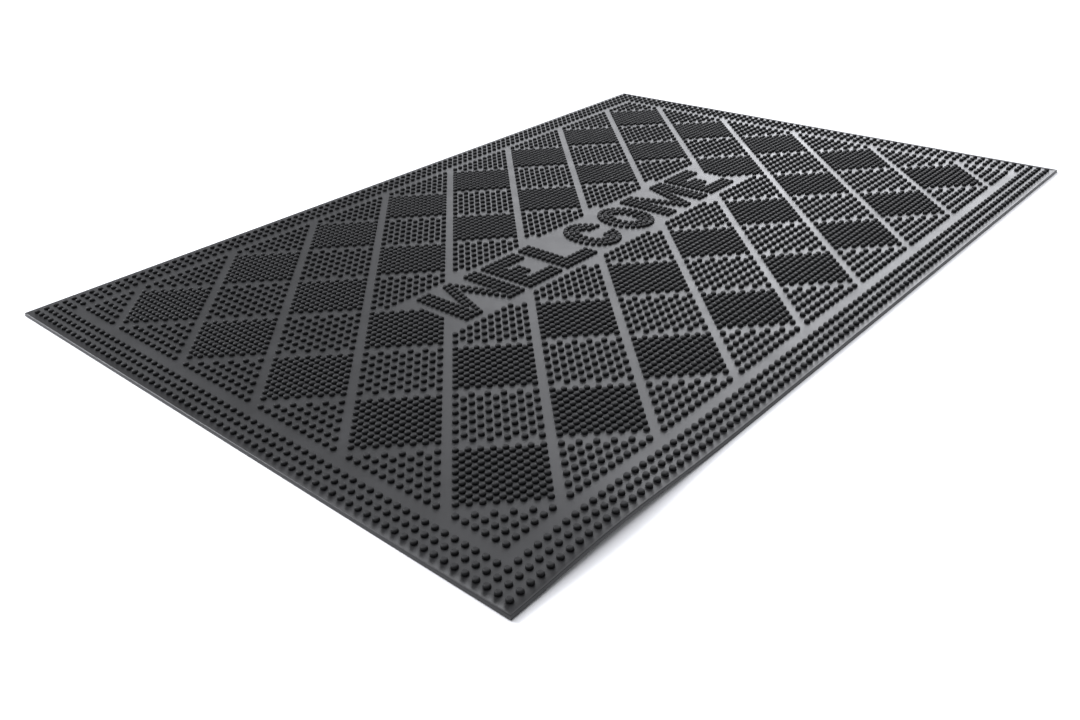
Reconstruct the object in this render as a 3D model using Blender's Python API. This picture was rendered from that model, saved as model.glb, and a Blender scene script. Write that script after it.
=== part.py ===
"""A moulded rubber door mat, in metres, +Z up: a flat sheet with pads of short pins on its upper face.

The origin is at the bottom centre. +X runs along the greeting in reading direction, +Y points to its top.
Each pad stands for a patch of separate pins, and its top is the level of their tips.
"""

import bmesh
import bpy
from mathutils import Matrix

LENGTH = 0.600  # the sheet along X
WIDTH = 0.395  # the sheet along Y
SHEET = 0.0019  # sheet thickness between the pins
TOTAL = 0.0035  # floor to pin tips
GAP = 0.0002  # left between the sheet and each pad
LIP_HIGH = 0.0002  # the rim around the sheet, above its face
LIP_WIDE = 0.0010
DRAFT = 0.0003  # how far the sheet's side wall leans in

REPEAT = 0.0681  # one dense diamond to the next, along X and along Y
WIDE_PITCH = REPEAT / 12  # pins of the wide diamonds
WIDE_PIN = 0.0017  # their radius
DENSE_PITCH = WIDE_PITCH * 10 / 14  # pins of the dense diamonds
DENSE_PIN = 0.0014
FIELD_X = 4 * REPEAT  # outermost pins of the patterned field
FIELD_Y = 2.5 * REPEAT
PANEL_X = 0.150  # half the plain panel that carries the greeting
PANEL_Y = 5 * WIDE_PITCH  # first row of pins above and below it
WEB = 0.0003  # low web that ties a row of wide diamonds into one body

BAND_X = 0.2942  # outermost column of border pins
BAND_Y = 0.1918  # outermost row
BAND_PITCH_X = 0.005825
BAND_PITCH_Y = 0.005725
BAND_ROWS = 3

LETTER_PITCH = 0.00395
LETTER_GAP = 0.0075  # between the outer pins of two neighbouring letters
SLANT = 0.37  # columns that a W stroke moves for each row

BLACK = {"base": (0.006, 0.006, 0.007), "roughness": 0.42}


def clear_scene():
    for old in list(bpy.data.objects):
        bpy.data.objects.remove(old, do_unlink=True)


def rubber(name, roughness):
    material = bpy.data.materials.new(name)
    material.use_nodes = True
    shader = material.node_tree.nodes["Principled BSDF"]
    shader.inputs["Base Color"].default_value = (*BLACK["base"], 1.0)
    shader.inputs["Roughness"].default_value = roughness
    shader.inputs["Metallic"].default_value = 0.0
    return material


def finish(bm, name, material, z):
    """Turn a finished bmesh into an object whose lower face is at z."""
    bmesh.ops.recalc_face_normals(bm, faces=list(bm.faces))
    mesh = bpy.data.meshes.new(name)
    bm.to_mesh(mesh)
    bm.free()
    mesh.materials.append(material)
    part = bpy.data.objects.new(name, mesh)
    part.location.z = z
    bpy.context.scene.collection.objects.link(part)
    return part


def extrude_up(bm, faces, height):
    """Extrude the faces straight up and return the new top faces."""
    made = bmesh.ops.extrude_face_region(bm, geom=faces)["geom"]
    points = [item for item in made if isinstance(item, bmesh.types.BMVert)]
    bmesh.ops.translate(bm, verts=points, vec=(0, 0, height))
    return [item for item in made if isinstance(item, bmesh.types.BMFace)]


def flat_diamond(bm, x, y, half, reach, inner=-1.0, panel=0.0):
    """Add a flat diamond with blunt tips, kept inside the field and out of the greeting's panel.

    inner keeps what is further than that from the mat's centre line along X, and panel does so along Y.
    """
    before = set(bm.faces)
    bmesh.ops.create_circle(
        bm, cap_ends=True, segments=4, radius=half, matrix=Matrix.Translation((x, y, 0))
    )
    edge_x = FIELD_X + WIDE_PIN
    edge_y = FIELD_Y + WIDE_PIN
    cuts = [
        ((min(x + reach, edge_x), y, 0), (1, 0, 0)),
        ((max(x - reach, -edge_x), y, 0), (-1, 0, 0)),
        ((x, min(y + reach, edge_y), 0), (0, 1, 0)),
        ((x, max(y - reach, -edge_y), 0), (0, -1, 0)),
    ]
    if inner > 0:
        side = 1 if x > 0 else -1
        cuts.append(((side * inner, y, 0), (-side, 0, 0)))
    if panel > 0:
        side = 1 if y > 0 else -1
        cuts.append(((x, side * panel, 0), (0, -side, 0)))
    for point, normal in cuts:
        face = next(f for f in bm.faces if f not in before)
        bmesh.ops.bisect_plane(
            bm,
            geom=[face, *face.edges, *face.verts],
            dist=1e-7,
            plane_co=point,
            plane_no=normal,
            clear_outer=True,
        )
    return next(f for f in bm.faces if f not in before)


def make_sheet(material):
    """The sheet: a thin slab with leaning side walls and a low rim around its upper face."""
    bm = bmesh.new()
    high = SHEET + LIP_HIGH
    size = Matrix.Diagonal((LENGTH, WIDTH, high, 1))
    bmesh.ops.create_cube(bm, size=1, matrix=Matrix.Translation((0, 0, high / 2)) @ size)
    top = max(bm.faces, key=lambda face: face.calc_center_median().z)
    for corner in top.verts:
        corner.co.x -= DRAFT if corner.co.x > 0 else -DRAFT
        corner.co.y -= DRAFT if corner.co.y > 0 else -DRAFT
    bmesh.ops.inset_region(bm, faces=[top], thickness=LIP_WIDE)
    bmesh.ops.inset_region(bm, faces=[top], thickness=LIP_HIGH, depth=-LIP_HIGH)
    return finish(bm, "backing_sheet", material, 0.0)


def make_band(name, material, low, high):
    """One straight band of border pins, from the low to the high corner."""
    bm = bmesh.new()
    middle = Matrix.Translation(((low[0] + high[0]) / 2, (low[1] + high[1]) / 2, 0))
    size = Matrix.Diagonal((high[0] - low[0], high[1] - low[1], 1, 1))
    bmesh.ops.create_grid(bm, x_segments=1, y_segments=1, size=0.5, matrix=middle @ size)
    extrude_up(bm, list(bm.faces), TOTAL - SHEET - GAP)
    return finish(bm, name, material, SHEET + GAP)


def make_border(material):
    """Four bands: the long ones take the corners, and the short ones fit between them."""
    depth_x = (BAND_ROWS - 1) * BAND_PITCH_X
    depth_y = (BAND_ROWS - 1) * BAND_PITCH_Y
    out_x = BAND_X + WIDE_PIN
    in_x = BAND_X - depth_x - WIDE_PIN
    out_y = BAND_Y + WIDE_PIN
    in_y = BAND_Y - depth_y - WIDE_PIN
    end_y = BAND_Y - BAND_ROWS * BAND_PITCH_Y + WIDE_PIN
    make_band("border_band_back", material, (-out_x, in_y), (out_x, out_y))
    make_band("border_band_front", material, (-out_x, -out_y), (out_x, -in_y))
    make_band("border_band_left", material, (-out_x, -end_y), (-in_x, end_y))
    make_band("border_band_right", material, (in_x, -end_y), (out_x, end_y))


def make_dense_diamonds(material):
    """Rows 1 to 5 from the back, columns 1 to 8 from the left; the middle row stops at the panel."""
    half = 7 * DENSE_PITCH + 1.414 * DENSE_PIN
    reach = 7 * DENSE_PITCH + DENSE_PIN
    for row in range(5):
        for column in range(8):
            x = (column - 3.5) * REPEAT
            y = (2 - row) * REPEAT
            middle = row == 2
            if middle and abs(x) < PANEL_X:
                continue
            bm = bmesh.new()
            inner = PANEL_X - DENSE_PIN if middle and abs(x) < 3 * REPEAT else -1.0
            flat_diamond(bm, x, y, half, reach, inner=inner)
            extrude_up(bm, list(bm.faces), TOTAL - SHEET - GAP)
            finish(bm, f"dense_diamond_r{row + 1}_c{column + 1}", material, SHEET + GAP)


def make_wide_row(name, material, y, columns, panel=0.0):
    """A row of wide diamonds, their facing tips tied by a low web so that the row is one body."""
    half = 5 * WIDE_PITCH + 1.414 * WIDE_PIN
    reach = 5 * WIDE_PITCH + WIDE_PIN
    bm = bmesh.new()
    pads = [flat_diamond(bm, n * REPEAT, y, half, reach, panel=panel) for n in columns]
    for left, right in zip(pads, pads[1:]):
        facing_right = max(left.edges, key=lambda edge: min(v.co.x for v in edge.verts))
        facing_left = min(right.edges, key=lambda edge: max(v.co.x for v in edge.verts))
        bmesh.ops.bridge_loops(bm, edges=[facing_right, facing_left])
    tops = extrude_up(bm, list(bm.faces), WEB)
    wide = [face for face in tops if face.calc_area() > 1e-4]
    extrude_up(bm, wide, TOTAL - SHEET - GAP - WEB)
    bmesh.ops.delete(bm, geom=wide, context="FACES_ONLY")
    return finish(bm, name, material, SHEET + GAP)


def make_wide_rows(material):
    """Rows 1 to 6 from the back. Rows 3 and 4 change shape along the panel, so they are in three runs."""
    low = PANEL_Y - WIDE_PIN
    for row in range(6):
        y = (2.5 - row) * REPEAT
        name = f"wide_row_{row + 1}"
        if row in (2, 3):
            make_wide_row(f"{name}_left", material, y, (-4, -3))
            make_wide_row(f"{name}_panel", material, y, range(-2, 3), panel=low)
            make_wide_row(f"{name}_right", material, y, (3, 4))
        else:
            make_wide_row(name, material, y, range(-4, 5))


def block_outline(letter):
    """The outline of a straight-sided letter, in pin pitches from its lower left pin."""
    e = DENSE_PIN / LETTER_PITCH
    if letter == "E":
        return [(-e, -e), (7 + e, -e), (7 + e, 2 + e), (2 + e, 2 + e), (2 + e, 4 - e),
                (4 + e, 4 - e), (4 + e, 6 + e), (2 + e, 6 + e), (2 + e, 8 - e),
                (7 + e, 8 - e), (7 + e, 10 + e), (-e, 10 + e)]
    if letter == "L":
        return [(-e, -e), (7 + e, -e), (7 + e, 2 + e), (2 + e, 2 + e), (2 + e, 10 + e), (-e, 10 + e)]
    notch = 10 - (3.5 - 2 * e) / SLANT
    fork = 10 - (0.5 + e) / SLANT
    foot = 5.5 - 10 * SLANT
    points = [(-e, -e), (foot + 1 + e, -e), (6, fork), (11 - foot - e, -e), (12 + e, -e),
              (12 + e, 10 + e), (10 - e, 10 + e), (10 - e, notch), (6.5 + e, 10 + e),
              (5.5 - e, 10 + e), (2 + e, notch), (2 + e, 10 + e), (-e, 10 + e)]
    if letter == "M":
        points = [(x, 10 - y) for x, y in reversed(points)]
    return points


def make_block_letter(name, letter, material, left):
    bm = bmesh.new()
    corners = []
    for x, y in block_outline(letter):
        corners.append(bm.verts.new((left + x * LETTER_PITCH, (y - 5) * LETTER_PITCH, 0)))
    bm.faces.new(corners)
    extrude_up(bm, list(bm.faces), TOTAL - SHEET - GAP)
    return finish(bm, name, material, SHEET + GAP)


def make_round_letter(name, letter, material, left):
    """An oval ring three pins wide; a C is the same ring, open on its right."""
    bm = bmesh.new()
    place = Matrix.Translation((left + 3.75 * LETTER_PITCH, 0, 0))
    for across, along, grow in ((3.75, 5.0, 1), (1.75, 3.0, -1)):
        size = Matrix.Diagonal(
            (across * LETTER_PITCH + grow * DENSE_PIN, along * LETTER_PITCH + grow * DENSE_PIN, 1, 1)
        )
        bmesh.ops.create_circle(bm, segments=48, radius=1, matrix=place @ size)
    bmesh.ops.bridge_loops(bm, edges=list(bm.edges))
    if letter == "C":
        middle = left + 3.75 * LETTER_PITCH
        opening = [
            face
            for face in bm.faces
            if face.calc_center_median().x > middle and abs(face.calc_center_median().y) < 0.0030
        ]
        bmesh.ops.delete(bm, geom=opening, context="FACES")
    extrude_up(bm, list(bm.faces), TOTAL - SHEET - GAP)
    return finish(bm, name, material, SHEET + GAP)


def make_greeting(material):
    """The plain block capitals along the panel, spaced evenly and centred."""
    word = "WELCOME"
    widths = {"W": 12, "M": 12, "E": 7, "L": 7, "C": 7.5, "O": 7.5}
    total = sum(widths[letter] for letter in word) * LETTER_PITCH + (len(word) - 1) * LETTER_GAP
    left = -total / 2
    for place, letter in enumerate(word, 1):
        make = make_round_letter if letter in "CO" else make_block_letter
        make(f"letter_{place}_{letter.lower()}", letter, material, left)
        left += widths[letter] * LETTER_PITCH + LETTER_GAP


clear_scene()
sheet_rubber = rubber("rubber_sheet", 0.42)
pin_rubber = rubber("rubber_pins", 0.50)
make_sheet(sheet_rubber)
make_border(pin_rubber)
make_dense_diamonds(pin_rubber)
make_wide_rows(pin_rubber)
make_greeting(pin_rubber)
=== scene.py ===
import math
import random

import bmesh
import bpy
from mathutils import Matrix, Vector


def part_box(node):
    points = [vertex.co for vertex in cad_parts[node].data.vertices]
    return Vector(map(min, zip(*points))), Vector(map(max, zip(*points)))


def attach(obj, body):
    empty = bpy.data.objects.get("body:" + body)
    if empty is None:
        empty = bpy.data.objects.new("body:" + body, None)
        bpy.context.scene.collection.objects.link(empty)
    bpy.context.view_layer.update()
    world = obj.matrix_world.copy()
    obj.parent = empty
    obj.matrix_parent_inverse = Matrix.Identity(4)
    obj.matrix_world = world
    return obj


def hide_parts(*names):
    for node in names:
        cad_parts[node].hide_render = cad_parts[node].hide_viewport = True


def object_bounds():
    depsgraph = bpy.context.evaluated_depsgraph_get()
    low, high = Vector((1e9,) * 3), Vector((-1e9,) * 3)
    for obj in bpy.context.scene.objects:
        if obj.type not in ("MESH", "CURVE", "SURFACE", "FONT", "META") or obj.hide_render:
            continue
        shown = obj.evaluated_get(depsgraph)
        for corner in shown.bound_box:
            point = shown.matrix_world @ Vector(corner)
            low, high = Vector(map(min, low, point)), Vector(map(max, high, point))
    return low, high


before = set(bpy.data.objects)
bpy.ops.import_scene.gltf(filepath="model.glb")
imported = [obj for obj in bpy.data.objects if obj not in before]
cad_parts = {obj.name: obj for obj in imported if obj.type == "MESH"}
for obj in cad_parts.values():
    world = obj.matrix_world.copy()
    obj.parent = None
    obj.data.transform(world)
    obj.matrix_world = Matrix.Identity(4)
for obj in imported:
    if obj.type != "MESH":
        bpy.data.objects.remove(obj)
cad_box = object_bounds()

# ---------------------------------------------------------------------------
# Rubber sheet. One compression-moulded slab of black rubber, 1.9 mm thick, with
# a low rounded rim pressed around its upper face. It lies loose on the floor,
# and its front edge keeps a shallow wave near the left corner.
# ---------------------------------------------------------------------------
sheet_low, sheet_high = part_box("backing_sheet")
sheet_size_x, sheet_size_y = sheet_high[0] - sheet_low[0], sheet_high[1] - sheet_low[1]
rim_top = sheet_high[2]
rim_height = 0.0002
rim_width = 0.0009
rim_round = 0.0003
face_z = rim_top - rim_height
groove = 0.0015
groove_depth = 0.00015
slope_width = 0.012
wall_lean = 0.0002
tiny = 1e-5

# (x, y, lift, reach along x, reach along y) of each wave that the sheet has kept
waves = [
    (-0.235, -0.200, 0.0028, 0.050, 0.060),
]


def lift(x, y):
    return sum(
        high * math.exp(-(((x - cx) / rx) ** 2) - ((y - cy) / ry) ** 2)
        for cx, cy, high, rx, ry in waves
    )


def profile(x, y):
    """Height of the upper face: flat inside, sinking to a groove near the edge, then up to the rim."""
    inward = min(sheet_high[0] - abs(x), sheet_high[1] - abs(y))
    if inward < rim_width + tiny:
        return rim_top
    return face_z - groove_depth * max(0.0, 1 - max(0.0, inward - groove) / slope_width) ** 2


def place(name, bm, material, slot, *nodes):
    """Turn a finished mesh into a piece that rides on the mat and stands for its CAD nodes."""
    bmesh.ops.recalc_face_normals(bm, faces=list(bm.faces))
    mesh = bpy.data.meshes.new(name)
    bm.to_mesh(mesh)
    bm.free()
    mesh.materials.append(material)
    piece = bpy.data.objects.new(name, mesh)
    bpy.context.scene.collection.objects.link(piece)
    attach(piece, "root")
    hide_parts(*nodes)
    return piece


def linear(hex_colour):
    """An sRGB hex colour as the linear RGBA that a shader takes."""
    parts = [int(hex_colour[i : i + 2], 16) / 255 for i in (1, 3, 5)]
    return (*[c / 12.92 if c <= 0.04045 else ((c + 0.055) / 1.055) ** 2.4 for c in parts], 1.0)


def add(tree, kind, inputs=None, links=None, **settings):
    """One shader node with its settings, its socket values and its incoming links."""
    node = tree.nodes.new(kind)
    for key, value in settings.items():
        setattr(node, key, value)
    for key, value in (inputs or {}).items():
        node.inputs[key].default_value = value
    for key, source in (links or {}).items():
        tree.links.new(source, node.inputs[key])
    return node


def moulded_rubber(name, bloom, roughness, shine, shift):
    """Black rubber: a cloudy bloom over the face, fine moulded grain, and gloss that varies a little."""
    material = bpy.data.materials.new(name)
    material.use_nodes = True
    tree = material.node_tree
    shader = tree.nodes["Principled BSDF"]
    place_at = add(tree, "ShaderNodeTexCoord").outputs["Object"]
    shifted = add(
        tree, "ShaderNodeMapping", inputs={"Location": (shift, shift * 2, 0)}, links={"Vector": place_at}
    ).outputs["Vector"]
    cloud = add(
        tree,
        "ShaderNodeTexNoise",
        inputs={"Scale": 45, "Detail": 4, "Roughness": 0.6},
        links={"Vector": shifted},
    ).outputs["Fac"]
    speck = add(
        tree,
        "ShaderNodeTexNoise",
        inputs={"Scale": 1600, "Detail": 2, "Roughness": 0.5},
        links={"Vector": shifted},
    ).outputs["Fac"]
    colour = add(tree, "ShaderNodeValToRGB", links={"Fac": cloud})
    colour.color_ramp.elements[0].position = 0.3
    colour.color_ramp.elements[0].color = linear("#0b0b0c")
    colour.color_ramp.elements[1].position = 0.75
    colour.color_ramp.elements[1].color = linear(bloom)
    gloss = add(
        tree,
        "ShaderNodeMapRange",
        inputs={"From Min": 0.3, "From Max": 0.7, "To Min": roughness - 0.04, "To Max": roughness + 0.05},
        links={"Value": cloud},
    )
    grain = add(
        tree, "ShaderNodeBump", inputs={"Strength": 0.25, "Distance": 0.00004}, links={"Height": speck}
    )
    tree.links.new(colour.outputs["Color"], shader.inputs["Base Color"])
    tree.links.new(gloss.outputs["Result"], shader.inputs["Roughness"])
    tree.links.new(grain.outputs["Normal"], shader.inputs["Normal"])
    shader.inputs["IOR"].default_value = 1.52
    shader.inputs["Specular IOR Level"].default_value = shine
    return material


sheet_rubber = moulded_rubber("sheet_rubber", "#151517", 0.38, 0.5, 0.0)

bm = bmesh.new()
footprint = Matrix.Diagonal((sheet_size_x, sheet_size_y, 1, 1))
bmesh.ops.create_grid(bm, x_segments=120, y_segments=80, size=0.5, matrix=footprint)
raised = bmesh.ops.extrude_face_region(bm, geom=list(bm.faces))["geom"]
upper = [item for item in raised if isinstance(item, bmesh.types.BMFace)]
upper_points = [item for item in raised if isinstance(item, bmesh.types.BMVert)]
bmesh.ops.translate(bm, verts=upper_points, vec=(0, 0, rim_top))
lean = (1 - 2 * wall_lean / sheet_size_x, 1 - 2 * wall_lean / sheet_size_y, 1)
bmesh.ops.scale(bm, verts=upper_points, vec=lean)
bmesh.ops.inset_region(bm, faces=upper, thickness=rim_width - wall_lean)
bmesh.ops.inset_region(bm, faces=upper, thickness=groove - rim_width)
for point in bm.verts:
    x, y, z = point.co
    point.co.z = lift(x, y) + (profile(x, y) if z > rim_top / 2 else 0)
rim_edge = [
    edge for edge in bm.edges if edge.calc_face_angle(0) > 1.2 and edge.verts[0].co.z > rim_top / 2
]
bmesh.ops.bevel(
    bm, geom=rim_edge, offset=rim_round, offset_type="OFFSET", affect="EDGES", segments=2, profile=0.5,
    material=-1, clamp_overlap=True,
)
sheet = place("rubber_sheet", bm, sheet_rubber, "rubber_sheet", "backing_sheet")
sheet.data.shade_smooth()
sheet.data.set_sharp_from_angle(angle=math.radians(50))

# ---------------------------------------------------------------------------
# Border pins. Three rows of short tapered pins all round, moulded in one with
# the sheet: each has a wide foot, leaning sides and a domed tip.
# ---------------------------------------------------------------------------
pin_rubber = moulded_rubber("pin_rubber", "#111113", 0.6, 0.32, 3.1)
chance = random.Random(7)
pin_height = cad_box[1][2] - face_z
pin_sunk = 0.0002
pin_lean = 0.02


def pin_mould(name, foot, tip, round_off):
    """One pin as the mould leaves it, standing at the origin, its foot sunk a little into the sheet."""
    bm = bmesh.new()
    bmesh.ops.create_cone(
        bm, cap_ends=True, cap_tris=False, segments=12, radius1=foot, radius2=tip,
        depth=pin_height + pin_sunk, matrix=Matrix.Translation((0, 0, (pin_height - pin_sunk) / 2)),
    )
    tip_edge = [edge for edge in bm.edges if all(v.co.z > pin_height * 0.9 for v in edge.verts)]
    bmesh.ops.bevel(
        bm, geom=tip_edge, offset=round_off, offset_type="OFFSET", affect="EDGES", segments=3, profile=0.5,
        material=-1, clamp_overlap=True,
    )
    mesh = bpy.data.meshes.new(name)
    bm.to_mesh(mesh)
    bm.free()
    return mesh


def stud(bm, mould, x, y):
    """Stand one pin on the sheet, turned any way and leaning a little differently from the others."""
    turn = Matrix.Rotation(chance.uniform(0, math.tau), 4, "Z")
    lean_x = Matrix.Rotation(chance.gauss(0, pin_lean), 4, "X")
    tilt = lean_x @ Matrix.Rotation(chance.gauss(0, pin_lean), 4, "Y")
    spot = Matrix.Translation((x, y, profile(x, y) + lift(x, y))) @ tilt @ turn
    mould.transform(spot)
    bm.from_mesh(mould)
    mould.transform(spot.inverted())


def finish_pins(name, bm, *nodes):
    """Shade a group of pins smooth and place it for its CAD nodes."""
    for face in bm.faces:
        face.smooth = True
    return place(name, bm, pin_rubber, "rubber_pins", *nodes)


wide_pin = pin_mould("wide_pin_mould", 0.00178, 0.0015, 0.0006)
band_x, band_y = 0.2942, 0.1918
band_step_x, band_step_y = 0.005825, 0.005725
columns, rows = 102, 68


def band(name, x_range, y_range, node):
    """One side of the border: a block of columns and rows of the pin grid, counted from the front left."""
    bm = bmesh.new()
    for i in x_range:
        for j in y_range:
            stud(bm, wide_pin, -band_x + i * band_step_x, -band_y + j * band_step_y)
    finish_pins(name, bm, node)


band("border_pins_back", range(columns), range(rows - 3, rows), "border_band_back")
band("border_pins_front", range(columns), range(3), "border_band_front")
band("border_pins_left", range(3), range(3, rows - 3), "border_band_left")
band("border_pins_right", range(columns - 3, columns), range(3, rows - 3), "border_band_right")

# ---------------------------------------------------------------------------
# Wide diamonds. Between the dense ones the field is filled with diamonds of
# the same pins as the border, 61 to a whole diamond, on a square grid.
# ---------------------------------------------------------------------------
repeat = 0.0681
wide_step = repeat / 12
wide_reach = 5
field_x, field_y = 4 * repeat + tiny, 2.5 * repeat + tiny
panel_y = 4.5 * wide_step

for row in range(6):
    y0 = (2.5 - row) * repeat
    bm = bmesh.new()
    for n in range(-4, 5):
        for i in range(-wide_reach, wide_reach + 1):
            for j in range(-wide_reach, wide_reach + 1):
                x, y = n * repeat + i * wide_step, y0 + j * wide_step
                in_diamond = abs(i) + abs(j) <= wide_reach and abs(x) < field_x and abs(y) < field_y
                in_panel = abs(n) < 3 and abs(y) < panel_y
                if in_diamond and not in_panel:
                    stud(bm, wide_pin, x, y)
    nodes = [f"wide_row_{row + 1}"]
    if row in (2, 3):
        nodes = [f"wide_row_{row + 1}_{part}" for part in ("left", "panel", "right")]
    finish_pins(f"wide_pins_row_{row + 1}", bm, *nodes)

# ---------------------------------------------------------------------------
# Dense diamonds. Slightly thinner pins, 113 to a diamond, moulded so close that
# they shade each other and the diamond looks black.
# ---------------------------------------------------------------------------
dense_pin = pin_mould("dense_pin_mould", 0.00175, 0.0014, 0.0007)
dense_step = wide_step * 10 / 14
dense_reach = 7
middle_row = 2
panel_x = 0.1495

for row in range(5):
    y0 = (middle_row - row) * repeat
    bm = bmesh.new()
    nodes = []
    for column in range(8):
        x0 = (column - 3.5) * repeat
        if row == middle_row and abs(x0) < panel_x:
            continue
        nodes.append(f"dense_diamond_r{row + 1}_c{column + 1}")
        for i in range(-dense_reach, dense_reach + 1):
            for j in range(-dense_reach, dense_reach + 1):
                x = x0 + i * dense_step
                cut_off = row == middle_row and abs(x) < panel_x
                if abs(i) + abs(j) <= dense_reach and not cut_off:
                    stud(bm, dense_pin, x, y0 + j * dense_step)
    finish_pins(f"dense_pins_row_{row + 1}", bm, *nodes)

# ---------------------------------------------------------------------------
# Greeting. Plain block capitals of the same pins on the bare panel, eleven pins
# high: upright strokes three pins wide, slanted strokes two, and the round
# letters in three rings.
# ---------------------------------------------------------------------------
letter_step = 0.00395
letter_gap = 0.0075
letter_rows = 11
slant = 0.37
closest = 0.72
mouth = 0.95


def straight_letter(letter):
    """Pin places of a straight-sided letter, in steps from its lower left pin."""
    if letter in "EL":
        wide_lines = (0, 1, 2) if letter == "L" else (0, 1, 2, 8, 9, 10)
        middle_lines = () if letter == "L" else (4, 5, 6)
        return [
            (i, j)
            for j in range(letter_rows)
            for i in range(8 if j in wide_lines else 5 if j in middle_lines else 3)
        ]
    places = [(i, j) for j in range(letter_rows) for i in (0, 1, 2, 10, 11, 12)]
    for j in range(letter_rows):
        away = slant * (10 - j)
        for i in (5.5 - away, 6.5 - away, 5.5 + away, 6.5 + away):
            if all(math.hypot(i - a, j - b) > closest for a, b in places):
                places.append((i, j))
    return places if letter == "W" else [(i, 10 - j) for i, j in places]


def round_letter(letter):
    """Pin places along three oval rings; a C leaves out the middle of its right side."""
    places = []
    for across, along in ((3.75, 5.0), (2.75, 4.0), (1.75, 3.0)):
        count = round(math.pi * (across + along) * 1.01)
        for k in range(count):
            angle = math.tau * (k + 0.5) / count
            places.append((3.75 + across * math.cos(angle), 5 + along * math.sin(angle)))
    if letter == "C":
        places = [(i, j) for i, j in places if i < 3.75 or abs(j - 5) > mouth]
    return places


word = "WELCOME"
widths = {"W": 12, "M": 12, "E": 7, "L": 7, "C": 7.5, "O": 7.5}
left = -(sum(widths[letter] for letter in word) * letter_step + 6 * letter_gap) / 2
for number, letter in enumerate(word, 1):
    bm = bmesh.new()
    for i, j in round_letter(letter) if letter in "CO" else straight_letter(letter):
        stud(bm, dense_pin, left + i * letter_step, (j - 5) * letter_step)
    finish_pins(f"greeting_pins_{number}", bm, f"letter_{number}_{letter.lower()}")
    left += widths[letter] * letter_step + letter_gap

for mould in (wide_pin, dense_pin):
    bpy.data.meshes.remove(mould)

# ---------------------------------------------------------------------------
# Studio. A plain white floor, a pale room and four soft boxes: two low beyond
# the right end, one behind on the left and a broad one overhead.
# ---------------------------------------------------------------------------
bm = bmesh.new()
bmesh.ops.create_grid(bm, x_segments=1, y_segments=1, size=3)
mesh = bpy.data.meshes.new("studio_floor")
bm.to_mesh(mesh)
bm.free()
floor = bpy.data.objects.new("studio_floor", mesh)
bpy.context.scene.collection.objects.link(floor)
paper = bpy.data.materials.new("white_paper")
paper.use_nodes = True
paper.node_tree.nodes["Principled BSDF"].inputs["Base Color"].default_value = linear("#f4f4f5")
paper.node_tree.nodes["Principled BSDF"].inputs["Roughness"].default_value = 0.9
floor.data.materials.append(paper)

room = bpy.data.worlds.new("pale_room")
room.use_nodes = True
room.node_tree.nodes["Background"].inputs["Color"].default_value = linear("#f2f4f8")
room.node_tree.nodes["Background"].inputs["Strength"].default_value = 0.55
bpy.context.scene.world = room


def soft_panel(name, turn, height, distance, size, glow):
    """A soft box facing the mat, by compass turn from +X and angle above the floor, of even radiance."""
    lamp = bpy.data.lights.new(name, "AREA")
    lamp.shape = "RECTANGLE"
    lamp.size, lamp.size_y = size
    lamp.energy = glow * math.pi * size[0] * size[1]
    lamp.color = (0.945, 0.955, 1.0)
    panel = bpy.data.objects.new(name, lamp)
    turn, height = math.radians(turn), math.radians(height)
    flat = distance * math.cos(height)
    panel.location = (flat * math.cos(turn), flat * math.sin(turn), distance * math.sin(height))
    panel.rotation_euler = (-panel.location).to_track_quat("-Z", "Y").to_euler()
    bpy.context.scene.collection.objects.link(panel)


soft_panel("right_box", 14, 21, 3.0, (1.6, 1.4), 5.0)
soft_panel("back_box", 36, 23, 3.0, (1.3, 1.3), 2.6)
soft_panel("left_box", 112, 33, 2.5, (1.2, 1.2), 14.0)
soft_panel("overhead", 90, 78, 2.5, (3.0, 3.0), 1.5)

# ---------------------------------------------------------------------------
# Camera. A short normal lens close over the near corner, turned a few degrees
# about its own axis.
# ---------------------------------------------------------------------------
lens = bpy.data.cameras.new("camera")
lens.sensor_width = 36
lens.lens = 33.2
lens.shift_x = 0.0376
lens.shift_y = -0.0042
lens.clip_start = 0.01
camera = bpy.data.objects.new("camera", lens)
stand = Vector((-0.4905, -0.3838, 0.2591))
aim = Vector((-0.1615, -0.0639, 0.0025))
camera.matrix_world = (
    Matrix.Translation(stand)
    @ (aim - stand).to_track_quat("-Z", "Y").to_matrix().to_4x4()
    @ Matrix.Rotation(math.radians(-2.925), 4, "Z")
)
bpy.context.scene.collection.objects.link(camera)
bpy.context.scene.camera = camera
bpy.context.scene.view_settings.view_transform = "Standard"
